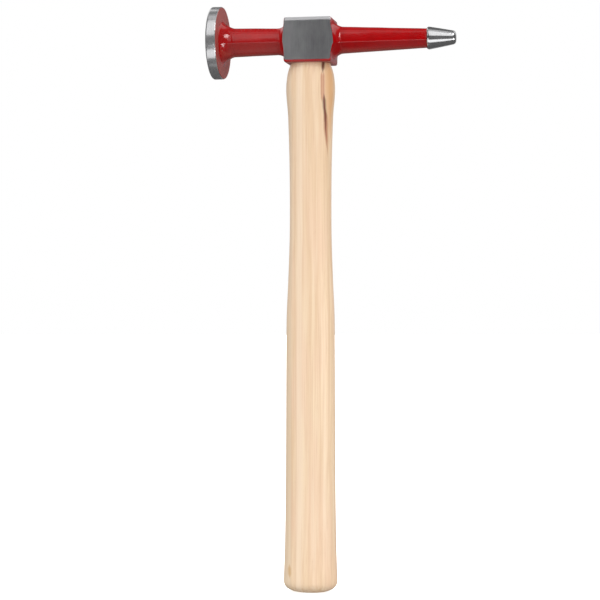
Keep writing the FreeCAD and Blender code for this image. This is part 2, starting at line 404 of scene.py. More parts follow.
def limb_rings(side, far_x, far_radius, eye_radius, root, ridge_drop, coat, fillet=0.0):
    """Rings of the neck or the arm, from the eye block's wall out to far_x.

    At the wall the limb spreads to both sides in a quarter ellipse. Up and down it spreads in
    a quarter round, cut short at the wall so that it stays on the end of the block.
    """
    root_length, root_spread = root
    wall_x = side * (EYE_HALF_LENGTH + coat * END_COAT / COAT)
    length = abs(far_x - wall_x)
    reach = ROOT_ROOM - eye_radius - coat
    start = ROOT_RISE - math.sqrt(ROOT_RISE**2 - (ROOT_RISE - reach) ** 2)

    def ring(distance, spreading=0.0):
        radius = coat + eye_radius + (far_radius - eye_radius) * distance / length
        radius += hollow_round(length - distance, fillet) if fillet else 0.0
        half_height = radius + hollow_round(distance + start, ROOT_RISE)
        section = limb_section(half_height, radius + spreading, ridge_drop)
        cut_by_cheek = radius + spreading - coat > EYE_HALF_DEPTH
        return wall_x + side * distance, section, SIDES_BARE if cut_by_cheek else PAINTED

    turns = np.radians(np.linspace(0, 90, ROOT_STEPS + 1))
    rings = [ring(root_length * (1 - math.cos(t)), root_spread * (1 - math.sin(t)))
             for t in turns]
    rings += [ring(d) for d in np.linspace(root_length, length - fillet, LIMB_STEPS + 1)[1:]]
    if fillet:
        rings += [ring(d) for d in np.linspace(length - fillet, length, FILLET_STEPS + 1)[1:]]
    return rings


def block_end_rings(side, root_ring, coat):
    """The eye block's end wall from a limb's root to its edge, and on round the edge."""
    wall_x, root, _ = root_ring
    side_top_z = root[UPPER_STEPS, 1]
    side_bottom_z = root[UPPER_STEPS + SIDE_STEPS, 1]

    def section(turn):
        inset = 1 - math.sin(turn)
        return block_section(coat, side_top_z, side_bottom_z, EYE_TOP_EDGE * inset,
                             EYE_BOTTOM_EDGE * inset)

    edge = section(0)
    shares = np.linspace(0, 1, WALL_STEPS + 1)[1:]
    wall = [(wall_x, root * (1 - t) + edge * t, SIDES_BARE) for t in shares]
    turns = np.radians(np.linspace(0, 90, EDGE_STEPS + 1))
    rounding = [(wall_x - side * END_EDGES * (1 - math.cos(t)), section(t), ENDS_PAINTED)
                for t in turns]
    return wall + rounding


def block_body_rings(first, last):
    """Plain length of the eye block between its two rounded ends."""
    shares = np.linspace(0, 1, BODY_STEPS + 1)[1:-1]
    return [(first[0] * (1 - t) + last[0] * t, first[1] * (1 - t) + last[1] * t,
             UNDERSIDE_PAINTED) for t in shares]


def disc_rings(coat):
    """Face, rim and back of the striking disc, in to the foot of the flare."""
    turns = np.radians(np.linspace(0, 90, EDGE_STEPS + 1))
    front_edge = np.column_stack([FACE_X + DISC_FRONT_EDGE * (1 - np.cos(turns)),
                                  DISC_RADIUS - DISC_FRONT_EDGE * (1 - np.sin(turns))])
    back_edge = np.column_stack([DISC_BACK_X - DISC_BACK_EDGE * (1 - np.sin(turns)),
                                 DISC_RADIUS - DISC_BACK_EDGE * (1 - np.cos(turns))])
    profile = joined(
        line((FACE_X, 0), front_edge[0], steps=9),
        front_edge,
        line(front_edge[-1], back_edge[0], steps=6),
        back_edge,
        line(back_edge[-1], (DISC_BACK_X, DISC_RADIUS - BARE_RING), steps=1),
    )
    bare = [(x, circle_section(r, NECK_RIDGE_DROP), BARE) for x, r in profile]
    foot = FLARE_RADIUS + coat + FLARE_FILLET
    radii = line([DISC_RADIUS - BARE_RING], [foot], steps=10)[:, 0]
    back = [(DISC_BACK_X + coat, circle_section(r, NECK_RIDGE_DROP), PAINTED) for r in radii]
    return bare + back


def flare_rings(coat, neck_ring):
    """Hollow cone from the back of the disc, turning into the neck's own section."""
    neck_x, neck, _ = neck_ring
    neck_radius = neck[0, 1] - AXIS_Z
    start_x = DISC_BACK_X + coat
    foot = FLARE_RADIUS + coat + FLARE_FILLET
    outline = bezier([
        (start_x, foot),
        (start_x, FLARE_RADIUS + coat + FLARE_BELLY),
        (neck_x - FLARE_TAIL * FLARE_LENGTH, neck_radius + FLARE_RUN_OUT),
        (neck_x, neck_radius),
    ], FLARE_STEPS)
    centre = np.array([0, AXIS_Z])
    rings = []
    for i, (x, radius) in enumerate(outline[1:-1], start=1):
        t = i / FLARE_STEPS
        blend = t * t * (3 - 2 * t)
        like_neck = centre + (neck - centre) * radius / neck_radius
        section = circle_section(radius, NECK_RIDGE_DROP) * (1 - blend) + like_neck * blend
        rings.append((x, section, PAINTED))
    return rings


def tip_rings():
    """Bare peen tip: a shoulder, a slightly bellied cone and a rounded end."""
    base = (TIP_BASE_X, TIP_BASE_RADIUS)
    end = (PEEN_END_X, TIP_END_RADIUS)
    base_edge = rounded((TIP_BASE_X, 0), base, end, TIP_BASE_EDGE, steps=6)
    end_edge = rounded(base, end, (PEEN_END_X, 0), TIP_END_EDGE, steps=10)
    belly = (base_edge[-1] + end_edge[0]) / 2 + (0, TIP_BELLY)
    profile = joined(
        line((TIP_BASE_X, ARM_RADIUS_AT_TIP + TIP_FILLET), base_edge[0], steps=2),
        base_edge,
        bezier([base_edge[-1], belly, end_edge[0]], steps=16),
        end_edge,
        line(end_edge[-1], (PEEN_END_X, 0), steps=5),
    )
    return [(x, circle_section(r, ARM_RIDGE_DROP), BARE) for x, r in profile]


def forging_wave(x, y, z):
    """Slight hammered unevenness of the limbs, nothing where they meet ground surfaces."""
    fade = np.clip((abs(x) - EYE_HALF_LENGTH) / WAVES_FROM_BLOCK, 0, 1)
    fade *= np.clip((x - DISC_BACK_X) / WAVES_FROM_DISC, 0, 1)
    fade *= np.clip((TIP_BASE_X - x) / WAVES_FROM_TIP, 0, 1)
    if fade == 0:
        return 0.0
    return FORGING_WAVES * fade * noise.noise(Vector((x, y, z)) / FORGING_WAVELENGTH)


def skin(coat):
    """Whole outside of the head at a thickness of coat, and which of its faces are enamelled."""
    neck = limb_rings(-1, DISC_BACK_X + FLARE_LENGTH, NECK_RADIUS_AT_DISC, NECK_RADIUS_AT_EYE,
                      NECK_ROOT, NECK_RIDGE_DROP, coat)
    arm = limb_rings(1, TIP_BASE_X, ARM_RADIUS_AT_TIP, ARM_RADIUS_AT_EYE, ARM_ROOT,
                     ARM_RIDGE_DROP, coat, TIP_FILLET)
    neck_end = block_end_rings(-1, neck[0], coat)
    arm_end = block_end_rings(1, arm[0], coat)
    rings = disc_rings(coat) + flare_rings(coat, neck[-1]) + neck[::-1] + neck_end
    rings += block_body_rings(neck_end[-1], arm_end[-1]) + arm_end[::-1] + arm + tip_rings()
    verts = []
    for x, section, _ in rings:
        front = np.column_stack([np.broadcast_to(x, len(section)), -section[:, 0], section[:, 1]])
        verts.append(np.vstack([front, front[-2:0:-1] * (1, -1, 1)]))
    verts = np.array(verts)
    for ring in verts:
        for point in ring:
            out = np.array([0, point[1], point[2] - AXIS_Z])
            length = np.linalg.norm(out)
            if length > 0:
                point += out / length * forging_wave(*point)
    paint = np.array([ring[2] for ring in rings])
    painted = paint[:-1] & paint[1:]
    return verts, np.hstack([painted, painted[:, ::-1]])


def eye_cutter():
    """The oval hole, run on past both ends."""
    over = 5 * MM
    heights = (EYE_BOTTOM_Z - over, EYE_BOTTOM_Z - COAT, EYE_WAIST_Z, HEAD_TOP_Z,
               HEAD_TOP_Z + over)
    return lofted("eye_cutter", [
        oval_ring(z, half_length + FIT, half_depth + FIT)
        for z, (half_length, half_depth) in
        zip(heights, (EYE_MOUTH, EYE_MOUTH, EYE_WAIST, EYE_TOP, EYE_TOP))
    ])


def head_forging():
    verts, _ = skin(0)
    rings, columns, _ = verts.shape
    faces = grid_faces(rings, columns).reshape(-1, 4)
    piece = tidied(new_piece("head_steel", verts.reshape(-1, 3), faces), HEAD_SHARP)
    return even_shading(tidied(cut(piece, [eye_cutter()]), HEAD_SHARP))


def enamel():
    """Closed skin: its outside, its inside and the cut edge all round them."""
    outside, painted = skin(COAT)
    inside, _ = skin(COAT_GAP)
    rings, columns, _ = outside.shape
    faces = grid_faces(rings, columns)[painted]
    edges = np.concatenate([faces[:, [k, (k + 1) % 4]] for k in range(4)])
    _, first, count = np.unique(np.sort(edges, axis=1), axis=0, return_index=True,
                                return_counts=True)
    rim = edges[first[count == 1]]
    under = rings * columns
    rim_faces = np.column_stack([rim[:, 1], rim[:, 0], rim[:, 0] + under, rim[:, 1] + under])
    verts = np.vstack([outside.reshape(-1, 3), inside.reshape(-1, 3)])
    all_faces = np.vstack([faces, faces[:, ::-1] + under, rim_faces])
    used = np.unique(all_faces)
    renumbered = np.searchsorted(used, all_faces)
    piece = tidied(new_piece("head_enamel", verts[used], renumbered), ENAMEL_SHARP)
    return even_shading(tidied(cut(piece, [eye_cutter()]), ENAMEL_SHARP))


# ---- Handle ----

def oval_ring(z, half_width, half_depth, sharpness=2):
    """Ring of points at a height: an ellipse at sharpness 2, squarer above it."""
    turns = np.linspace(0, 2 * math.pi, HANDLE_COLUMNS, endpoint=False)
    c = np.cos(turns)
    s = np.sin(turns)
    return np.column_stack([
        half_width * np.copysign(np.abs(c) ** (2 / sharpness), c),
        half_depth * np.copysign(np.abs(s) ** (2 / sharpness), s),
        np.full(HANDLE_COLUMNS, z),
    ])


def butt_rings():
    """The flat on the butt and the dome above it, up to the grip's first station."""
    half_width, half_depth = HANDLE_STATIONS[0, 1:]
    power = 2 / BUTT_SHARPNESS
    start = math.acos(BUTT_FLAT ** (1 / power))
    flat = [oval_ring(0, half_width * t, half_depth * t, HANDLE_SHARPNESS)
            for t in np.linspace(FLAT_INNER, BUTT_FLAT, FLAT_RINGS + 1)[:-1]]
    dome = []
    for turn in np.linspace(start, 0, DOME_RINGS)[:-1]:
        size = math.cos(turn) ** power
        z = BUTT_DOME * (1 - (math.sin(turn) / math.sin(start)) ** power)
        dome.append(oval_ring(z, half_width * size, half_depth * size, HANDLE_SHARPNESS))
    return flat + dome


def grip_rings():
    heights = np.linspace(HANDLE_STATIONS[0, 0], HANDLE_STATIONS[-1, 0], GRIP_RINGS)
    sizes = smooth_through(HANDLE_STATIONS, heights)
    return [oval_ring(z, a, b, HANDLE_SHARPNESS) for z, (a, b) in zip(heights, sizes)]


def tenon_rings():
    """The tenon fills the eye from its mouth to its waist, and on to its top."""
    levels = [(HANDLE_STATIONS[-1, 0], *EYE_MOUTH), (EYE_WAIST_Z, *EYE_WAIST),
              (HEAD_TOP_Z - TENON_SUNK, *EYE_TOP)]
    rows = joined(*[line(a, b, TENON_STEPS) for a, b in zip(levels, levels[1:])])
    return [oval_ring(*row) for row in rows]


def wedge_cutter(low, high, half_end, along):
    """Room for a wedge that tapers down from the head's top.

    Its width runs along axis 0 for the wooden wedge in its kerf, and 1 for a steel one.
    """
    middle = (low + high) / 2
    across = 1 - along
    half_top = (high[across] - low[across]) / 2
    half_width = (high[along] - low[along]) / 2 + (KERF_OVERRUN if along == 0 else FIT)
    over = 2 * MM
    slope = (half_top - half_end) / (high.z - low.z)
    rings = []
    for z, half in ((low.z - FIT, half_end + FIT), (high.z + over, half_top + slope * over + FIT)):
        ring = []
        for u, v in ((-1, -1), (1, -1), (1, 1), (-1, 1)):
            point = [middle.x, middle.y, z]
            point[along] += u * half_width
            point[across] += v * half
            ring.append(point)
        rings.append(ring)
    return lofted("wedge_cutter", rings)


def hickory_handle():
    piece = lofted("handle_wood", butt_rings() + grip_rings() + tenon_rings())
    cutters = [wedge_cutter(wood_wedge_low, wood_wedge_high, WOOD_WEDGE_HALF_END, 0)]
    for node in ("steel_wedge_face_side", "steel_wedge_peen_side"):
        cutters.append(wedge_cutter(*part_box(node), STEEL_WEDGE_HALF_END, 1))
    return even_shading(tidied(cut(tidied(piece, HANDLE_SHARP), cutters), HANDLE_SHARP))


# ---- Materials ----

class Material:
    """One procedural material, built node by node."""

    def __init__(self, name, **surface):
        self.data = bpy.data.materials.new(name)
        self.data.use_nodes = True
        self.tree = self.data.node_tree
        self.surface = self.tree.nodes["Principled BSDF"]
        self.coordinates = self.tree.nodes.new("ShaderNodeTexCoord").outputs["Object"]
        self.set(self.surface, surface)

    def set(self, node, values):
        """Links or fills a node's sockets, which are named or numbered."""
        for name, value in values.items():
            socket = node.inputs[name.replace("_", " ") if isinstance(name, str) else name]
            if isinstance(value, bpy.types.NodeSocket):
                self.tree.links.new(value, socket)
            else:
                socket.default_value = value

    def node(self, kind, values, **settings):
        node = self.tree.nodes.new("ShaderNode" + kind)
        for name, value in settings.items():
            setattr(node, name, value)
        self.set(node, values)
        return node

    def math(self, operation, a, b=0.0, c=0.0, clamp=False):
        values = {0: a, 1: b, 2: c}
        return self.node("Math", values, operation=operation, use_clamp=clamp).outputs[0]

    def stretched(self, x, y, z):
        """Coordinates in which one unit is x, y and z millimetres."""
        scale = tuple(1 / (size * MM) for size in (x, y, z))
        return self.node("Mapping", {"Vector": self.coordinates, "Scale": scale}).outputs[0]

    def noise(self, vector, detail=2.0, roughness=0.5, distortion=0.0):
        return self.node("TexNoise", {
            "Vector": vector, "Scale": 1.0, "Detail": detail, "Roughness": roughness,
            "Distortion": distortion,
        }).outputs[0]

    def between(self, value, low, high, to_low=0.0, to_high=1.0):
        """Takes low..high to to_low..to_high, smoothly and clamped."""
        return self.node("MapRange", {
            "Value": value, "From Min": low, "From Max": high, "To Min": to_low, "To Max": to_high,
        }, interpolation_type="SMOOTHSTEP").outputs[0]

    def mix(self, share, a, b):
        """Colour that goes from a to b."""
        node = self.node("Mix", {}, data_type="RGBA")
        self.set(node, {0: share, 6: a, 7: b})
        return node.outputs[2]

    def place(self, axis):
        """One coordinate, in metres."""
        return self.node("SeparateXYZ", {"Vector": self.coordinates}).outputs[axis]

    def radius(self):
        """Distance from the head's axis, in metres."""
        y = self.place(1)
        z = self.math("SUBTRACT", self.place(2), AXIS_Z)
        return self.math("SQRT", self.math("MULTIPLY_ADD", y, y, self.math("MULTIPLY", z, z)))

    def facing(self, axis):
        """How far the surface faces along an axis."""
        normal = self.tree.nodes.new("ShaderNodeNewGeometry").outputs["Normal"]
        return self.node("SeparateXYZ", {"Vector": normal}).outputs[axis]

    def bump(self, height, depth_mm):
        node = self.node("Bump", {"Height": height, "Strength": 1.0, "Distance": depth_mm * MM})
        self.tree.links.new(node.outputs[0], self.surface.inputs["Normal"])


def rgb(red, green, blue):
    """Colour given in 0-255 display values, as the shader wants it."""
    def linear(value):
        value /= 255
        return value / 12.92 if value <= 0.04045 else ((value + 0.055) / 1.055) ** 2.4
    return (*map(linear, (red, green, blue)), 1.0)


def steel_grey(level):
    """Colour of bare steel, slightly blue, at a linear level."""
    return (level, level, level + 0.01, 1.0)


STAINED_STEEL = (0.22, 0.21, 0.20, 1.0)
FLOOR_GREYS = ((0.90, 0.90, 0.90, 1.0), (0.92, 0.92, 0.92, 1.0))
WHITE = (1.0, 1.0, 1.0, 1.0)

# Where the back of the disc has painted reflection and is rougher, and where the neck has painted
# reflection on its flanks and flecks of painted highlight
PAINTED_REFLECTION_DISC_RADII = (FLARE_RADIUS + 1.5 * MM, FLARE_RADIUS + 3.5 * MM)
PAINTED_REFLECTION_DISC_PLACES = (-40 * MM, -44 * MM)
NECK_PAINTED_LIGHT_PLACES = (-EYE_HALF_LENGTH + 4 * MM, -EYE_HALF_LENGTH - 4 * MM)

# Painted light that runs all the way up the handle, by X: a painted highlight strip left of the
# middle, and the left edge painted paler against its shade
HIGHLIGHT_STRIP_START = (-7.2 * MM, -5.6 * MM)
HIGHLIGHT_STRIP_END = (-3.6 * MM, -2.6 * MM)
LIT_EDGE_START = (-8.6 * MM, -10.2 * MM)

# Stains on the front of the handle: colour, depth, and then in millimetres the top and the bottom
# as (X, Z), the half width, and the lengths of the taper below the top and above the bottom
AMBER = rgb(222, 168, 112)
BLUSH = rgb(192, 124, 92)
BROWN = rgb(164, 84, 50)
DARK_BROWN = rgb(104, 44, 20)
TAN = rgb(214, 170, 110)
STAINS = (
    (AMBER, 0.85, (11.5, 300.0), (12.3, 236.0), 4.0, 14.0, 44.0),
    (BLUSH, 0.8, (7.5, 287.0), (7.8, 268.0), 0.9, 4.0, 4.0),
    (BLUSH, 0.8, (8.5, 287.0), (8.8, 268.0), 0.9, 4.0, 4.0),
    (BROWN, 0.85, (9.1, 268.0), (10.4, 237.0), 1.6, 8.0, 20.0),
    (DARK_BROWN, 1.0, (8.1, 297.0), (8.1, 283.8), 1.4, 4.0, 5.0),
    (DARK_BROWN, 1.0, (8.7, 274.5), (9.9, 246.0), 1.35, 5.0, 22.0),
    (TAN, 0.7, (-10.2, 17.0), (-10.2, 7.5), 1.8, 4.0, 4.0),
)
STAIN_WANDER = 0.7 * MM
STAIN_LEAST_HALF_WIDTH = 0.02 * MM
STAIN_FRONT = (-1 * MM, -4 * MM)    # stains fade in over this run of Y, towards the front


def ground_steel():
    """Belt-ground cheeks and top: matte, with fine lines along Z and broad soft bands.

    It is painted lighter towards the face, and has a painted highlight along the chamfers.
    """
    m = Material("steel_ground", Metallic=0.9)
    bands = m.noise(m.stretched(4.5, 9.0, 9.0), 4.0, 0.55)
    lines = m.noise(m.stretched(0.16, 0.5, 14.0), 2.0, 0.6)
    grit = m.noise(m.stretched(0.35, 0.35, 0.8), 2.0, 0.6)
    tone = m.math("ADD", m.math("MULTIPLY", bands, 0.45), m.math("MULTIPLY", lines, 0.55))
    # painted light: the ground steel is made lighter towards the striking face
    painted_light_towards_face = m.between(m.place(0), 0.5 * EYE_HALF_LENGTH, -EYE_HALF_LENGTH, 0.0, 0.34)
    # painted highlight along the chamfers
    painted_highlight = m.between(m.place(2), HEAD_TOP_Z - CHAMFER_HEIGHT, HEAD_TOP_Z - 0.6 * CHAMFER_HEIGHT)
    share = m.math("ADD", m.between(tone, 0.30, 0.70, 0.04, 0.44), painted_light_towards_face)
    share = m.math("ADD", share, painted_highlight, clamp=True)
    m.set(m.surface, {
        "Base Color": m.mix(share, steel_grey(0.22), steel_grey(0.56)),
        "Roughness": m.between(grit, 0.3, 0.7, 0.30, 0.40),
    })
    m.bump(lines, 0.012)
    return m.data


def turned(m, line_width):
    """Fine noise that runs round the head's axis, as a lathe or a belt leaves it."""
    y = m.place(1)
    z = m.math("SUBTRACT", m.place(2), AXIS_Z)
    across = m.math("MULTIPLY", m.math("ADD", m.place(0), m.radius()), 1 / (line_width * MM))
    angle = m.math("ARCTAN2", y, z)
    spun = m.node("CombineXYZ", {"X": across, "Y": angle}).outputs[0]
    return m.noise(spun, 3.0, 0.6)


def turned_steel():
    """Rim and face of the striking disc."""
    m = Material("steel_turned", Metallic=0.84)
    lines = turned(m, 0.5)
    haze = m.noise(m.stretched(6.0, 6.0, 6.0), 2.0, 0.5)
    m.set(m.surface, {
        "Base Color": m.mix(m.between(lines, 0.3, 0.7), steel_grey(0.59), steel_grey(0.64)),
        "Roughness": m.between(haze, 0.3, 0.7, 0.18, 0.21),
    })
    m.bump(lines, 0.0006)
    return m.data


def polished_steel():
    """Peen tip, polished nearly bright."""
    m = Material("steel_polished", Metallic=0.94)
    lines = turned(m, 0.2)
    haze = m.noise(m.stretched(4.0, 4.0, 4.0), 3.0, 0.6)
    m.set(m.surface, {
        "Base Color": m.mix(m.between(lines, 0.3, 0.7), steel_grey(0.62), steel_grey(0.72)),
        "Roughness": m.between(haze, 0.3, 0.7, 0.09, 0.16),
    })
    m.bump(lines, 0.0006)
    return m.data


def red_enamel():
    """Glossy dipped enamel with orange peel.

    It is paler and rougher underneath, on the neck's flanks and on the back of the disc, where the
    paler colour is painted reflection, and the neck has flecks of painted highlight.
    """
    m = Material("enamel_red", IOR=1.5)
    peel = m.noise(m.stretched(1.6, 1.6, 1.6), 2.0, 0.5)
    runs = m.noise(m.stretched(5.0, 5.0, 5.0), 2.0, 0.5)
    specks = m.noise(m.stretched(0.5, 0.5, 0.5), 3.0, 0.7)
    # painted reflection: paler, greyer enamel underneath, on the neck's lower flanks and on the
    # back of the disc; the same mask also makes it rougher
    under = m.between(m.facing(2), -0.64, -0.97)
    on_disc = m.between(m.radius(), *PAINTED_REFLECTION_DISC_RADII)
    on_disc = m.math("MULTIPLY", on_disc, m.between(m.place(0), *PAINTED_REFLECTION_DISC_PLACES))
    near_face = m.between(m.place(0), *NECK_PAINTED_LIGHT_PLACES)
    flank = m.math("MULTIPLY", near_face, m.between(m.facing(2), -0.35, -0.65, 0.0, 0.4))
    painted_reflection_and_roughness = m.math("MAXIMUM", m.math("MAXIMUM", under, flank), on_disc)
    # flecks of painted highlight on the neck, in its lit colour
    painted_highlight = m.math("MULTIPLY", m.between(specks, 0.40, 0.75), m.math("MULTIPLY", near_face, 0.22))
    clean = m.mix(m.between(runs, 0.3, 0.7), rgb(166, 3, 7), rgb(156, 5, 8))
    clean = m.mix(painted_highlight, clean, rgb(190, 62, 60))
    # colour of the painted reflection
    painted_reflection_colour = m.mix(m.between(specks, 0.3, 0.7), rgb(150, 56, 50), rgb(164, 82, 76))
    shine = m.math("MULTIPLY", painted_reflection_and_roughness, 0.28)
    m.set(m.surface, {
        "Base Color": m.mix(painted_reflection_and_roughness, clean, painted_reflection_colour),
        "Roughness": m.math("ADD", shine, m.between(specks, 0.2, 0.8, 0.10, 0.16)),
    })
    m.bump(peel, 0.008)
    return m.data


def streak(m, top, bottom, half_width, top_taper, bottom_taper):
    """Mask of a stain along the grain on the front of the handle, tapering to both its ends.

    top and bottom are (X, Z) and the rest are lengths, all in millimetres.
    """
    x = m.place(0)
    z = m.place(2)
    lean = (top[0] - bottom[0]) / (top[1] - bottom[1])
    centre = m.math("MULTIPLY_ADD", z, lean, (bottom[0] - bottom[1] * lean) * MM)
    wander = m.noise(m.stretched(40.0, 40.0, 7.0), 2.0, 0.5)
    wander = m.math("MULTIPLY", m.math("SUBTRACT", wander, 0.5), STAIN_WANDER)
    off = m.math("ABSOLUTE", m.math("ADD", m.math("SUBTRACT", x, centre), wander))
    taper = m.math(
        "MULTIPLY",
        m.between(z, bottom[1] * MM, (bottom[1] + bottom_taper) * MM),
        m.between(z, (top[1] - top_taper) * MM, top[1] * MM, 1.0, 0.0),
    )
    width = m.math("MULTIPLY_ADD", taper, half_width * MM, STAIN_LEAST_HALF_WIDTH)
    across = m.between(off, 0.0, width, 1.0, 0.0)
    front = m.between(m.place(1), *STAIN_FRONT)
    strength = m.math("POWER", taper, 0.35)
    return m.math("MULTIPLY", m.math("MULTIPLY", across, strength), front)


def hickory():
    """Pale hickory: growth rings and pores drawn out along Z, with a few stains of its own."""
    m = Material("wood_hickory", IOR=1.45)
    warp = m.noise(m.stretched(30.0, 30.0, 120.0), 2.0, 0.5)
    grown = m.node("VectorMath", {0: m.stretched(2.6, 3.4, 150.0)}, operation="ADD")
    shift = m.node("CombineXYZ", {"X": m.math("MULTIPLY", warp, 3.0)}).outputs[0]
    m.set(grown, {1: shift})
    rings = m.noise(grown.outputs[0], 3.0, 0.55, 0.3)
    streaks = m.noise(m.stretched(1.1, 1.4, 90.0), 2.0, 0.5)
    fibres = m.noise(m.stretched(0.45, 0.45, 30.0), 3.0, 0.6)
    pores = m.noise(m.stretched(0.2, 0.2, 4.0), 2.0, 0.6)
    patches = m.noise(m.stretched(9.0, 9.0, 60.0), 2.0, 0.5)

    colour = m.mix(m.between(rings, 0.32, 0.68), rgb(233, 199, 160), rgb(246, 219, 186))
    colour = m.mix(m.between(patches, 0.42, 0.66, 0.0, 0.55), colour, rgb(240, 204, 173))
    colour = m.mix(m.between(streaks, 0.52, 0.72, 0.0, 0.45), colour, rgb(222, 184, 144))
    colour = m.mix(m.between(streaks, 0.46, 0.30, 0.0, 0.50), colour, rgb(246, 221, 193))
    colour = m.mix(m.between(fibres, 0.50, 0.78, 0.0, 0.45), colour, rgb(220, 180, 143))
    colour = m.mix(m.between(pores, 0.62, 0.80, 0.0, 0.40), colour, rgb(203, 158, 116))
    # painted highlight: a lighter strip all the way up the handle, left of its middle
    painted_highlight_strip = m.math("MULTIPLY", m.between(m.place(0), *HIGHLIGHT_STRIP_START),
                         m.between(m.place(0), *HIGHLIGHT_STRIP_END, 1.0, 0.0))
    colour = m.mix(m.math("MULTIPLY", painted_highlight_strip, 0.5), colour, rgb(250, 226, 200))
    # painted light: the left edge made paler, to lift its shade
    painted_light_edge = m.between(m.place(0), *LIT_EDGE_START)
    colour = m.mix(m.math("MULTIPLY", painted_light_edge, 0.7), colour, rgb(235, 212, 184))
    for stain, depth, *outline in STAINS:
        colour = m.mix(m.math("MULTIPLY", streak(m, *outline), depth), colour, stain)

    grain = m.math("ADD", m.math("MULTIPLY", fibres, 0.6), m.math("MULTIPLY", pores, 0.4))
    m.set(m.surface, {
        "Base Color": colour,
        "Roughness": m.between(fibres, 0.3, 0.7, 0.42, 0.56),
    })
    m.bump(grain, 0.02)
    return m.data


def wedge_wood():
    """Darker, harder wood, seen end on."""
    m = Material("wood_wedge", IOR=1.45)
    fibres = m.noise(m.stretched(1.2, 0.25, 6.0), 3.0, 0.6)
    pores = m.noise(m.stretched(0.18, 0.18, 3.0), 2.0, 0.6)
    colour = m.mix(m.between(fibres, 0.3, 0.7), rgb(150, 104, 66), rgb(182, 134, 90))
    m.set(m.surface, {
        "Base Color": m.mix(m.between(pores, 0.55, 0.75, 0.0, 0.6), colour, rgb(96, 60, 36)),
        "Roughness": m.between(fibres, 0.3, 0.7, 0.5, 0.65),
    })
    m.bump(pores, 0.03)
    return m.data


def wedge_steel():
    """Mild steel wedge, ground flush with the head's top."""
    m = Material("steel_wedge", Metallic=1.0)
    lines = m.noise(m.stretched(9.0, 0.16, 9.0), 2.0, 0.6)
    stain = m.noise(m.stretched(2.0, 2.0, 2.0), 3.0, 0.6)
    m.set(m.surface, {
        "Base Color": m.mix(m.between(stain, 0.3, 0.7), STAINED_STEEL, steel_grey(0.34)),
        "Roughness": m.between(lines, 0.3, 0.7, 0.32, 0.5),
    })
    m.bump(lines, 0.01)
    return m.data


def finish_head(piece):
    """Gives each bare region of the forging its own finish."""
    for material in (ground_steel(), turned_steel(), polished_steel()):
        piece.data.materials.append(material)
    ground, turned_on_lathe, polished = range(3)
    for face in piece.data.polygons:
        if face.center.x < DISC_BACK_X + COAT:
            face.material_index = turned_on_lathe
        elif face.center.x > TIP_BASE_X - COAT:
            face.material_index = polished
        else:
            face.material_index = ground


def coat_node(node, material):
    """Gives a CAD node that stays a material of its own."""
    slots = frame["nodes"][node].data.materials
    slots.clear()
    slots.append(material)


# ---- Pieces ----

steel = head_forging()
finish_head(steel)
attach(steel, BODY)
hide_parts("head_forging")

paint = enamel()
paint.data.materials.clear()
paint.data.materials.append(red_enamel())
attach(paint, BODY)
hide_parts("red_enamel_coat")

handle = hickory_handle()
handle.data.materials.clear()
handle.data.materials.append(hickory())
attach(handle, BODY)
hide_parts("hickory_handle")

coat_node("wooden_wedge", wedge_wood())
wedge_metal = wedge_steel()
for wedge in ("steel_wedge_face_side", "steel_wedge_peen_side"):
    coat_node(wedge, wedge_metal)


# ---- Stage, lights and camera ----

FLOOR_RADIUS = 8.0
FLOOR_COLUMNS = 96
FLOOR_GLOW = 0.7
BACKDROP_REACH = 0.97           # of the floor's radius
BACKDROP_ELEVATIONS = (-12, 84)
BACKDROP_ROWS = 20
BACKDROP_COLUMNS = 64
CARD_ROWS = 9
CARD_COLUMNS = 25
WORLD_LEVEL = 0.10

# Angles are in degrees. Azimuth 0 is in front of the hammer, 90 is beyond the peen and 180 is
# behind it.

# Cards: lowest and highest elevation, first and last azimuth, distance from the head's middle,
# and strength
CARDS = {
    # above the front: the bright bands along the upper side of the rim, the neck and the tip
    "upper_card_left": (18, 67, -42, -12, 1.0, 1.1),
    "neck_card": (34, 67, -12, -7, 1.0, 2.2),
    "upper_card_right": (18, 67, 13, 36, 1.0, 1.15),
    "overhead_card": (68, 88, -100, 100, 1.0, 0.6),
    # a dark card that keeps the arm's upper side a deep red
    "arm_shade": (-8, 61, -8, 13, 0.95, 0.0),
    # below the front: the light line along the ridges, and the bands under it
    "ridge_card": (-45, -10, -12, 10, 0.8, 2.5),
    "lower_card": (-49, -24, -60, 10, 0.40, 1.15),
    "lower_tip_card": (-49, -24, 10, 38, 0.40, 1.4),
    "under_card": (-86, -62, -70, -9, 0.25, 0.45),
    "under_tip_card": (-86, -62, 14, 60, 0.25, 0.30),
    "rear_low_card": (-35, 14, 150, 195, 1.0, 0.3),
    # small lamps on the peen's side: the highlights on the flare and at the arm's root
    "upper_lamp": (32, 54, 38, 62, 1.0, 10.0),
    "lower_lamp": (-34, -16, 44, 70, 0.45, 10.0),
    # above the back
    "rear_card_left": (15, 60, -155, -115, 1.0, 0.9),
    "rear_card_right": (15, 60, 115, 155, 1.0, 0.9),
}

# Suns: azimuth, elevation, strength and spread
SUNS = {
    "key": (-48, 28, 1.5, 90),
    "fill": (60, 15, 1.7, 90),
    "bounce": (0, -45, 1.05, 120),
    "top": (0, 85, 1.7, 100),
    "rear_left": (208, 25, 1.15, 90),
    "rear_right": (152, 25, 1.15, 90),
}


def glowing(name, strength):
    """White material that gives off light and has no shading of its own."""
    material = bpy.data.materials.new(name)
    material.use_nodes = True
    tree = material.node_tree
    tree.nodes.remove(tree.nodes["Principled BSDF"])
    glow = tree.nodes.new("ShaderNodeEmission")
    glow.inputs["Color"].default_value = WHITE
    glow.inputs["Strength"].default_value = strength
    tree.links.new(glow.outputs[0], tree.nodes["Material Output"].inputs["Surface"])
    return material


def only_seen_by(obj, camera=False, glossy=False):
    """Hides an object from shadows, diffuse light and whatever isn't asked for."""
    obj.visible_camera = camera
    obj.visible_diffuse = False
    obj.visible_glossy = glossy
    obj.visible_transmission = False
    obj.visible_shadow = False
    return obj


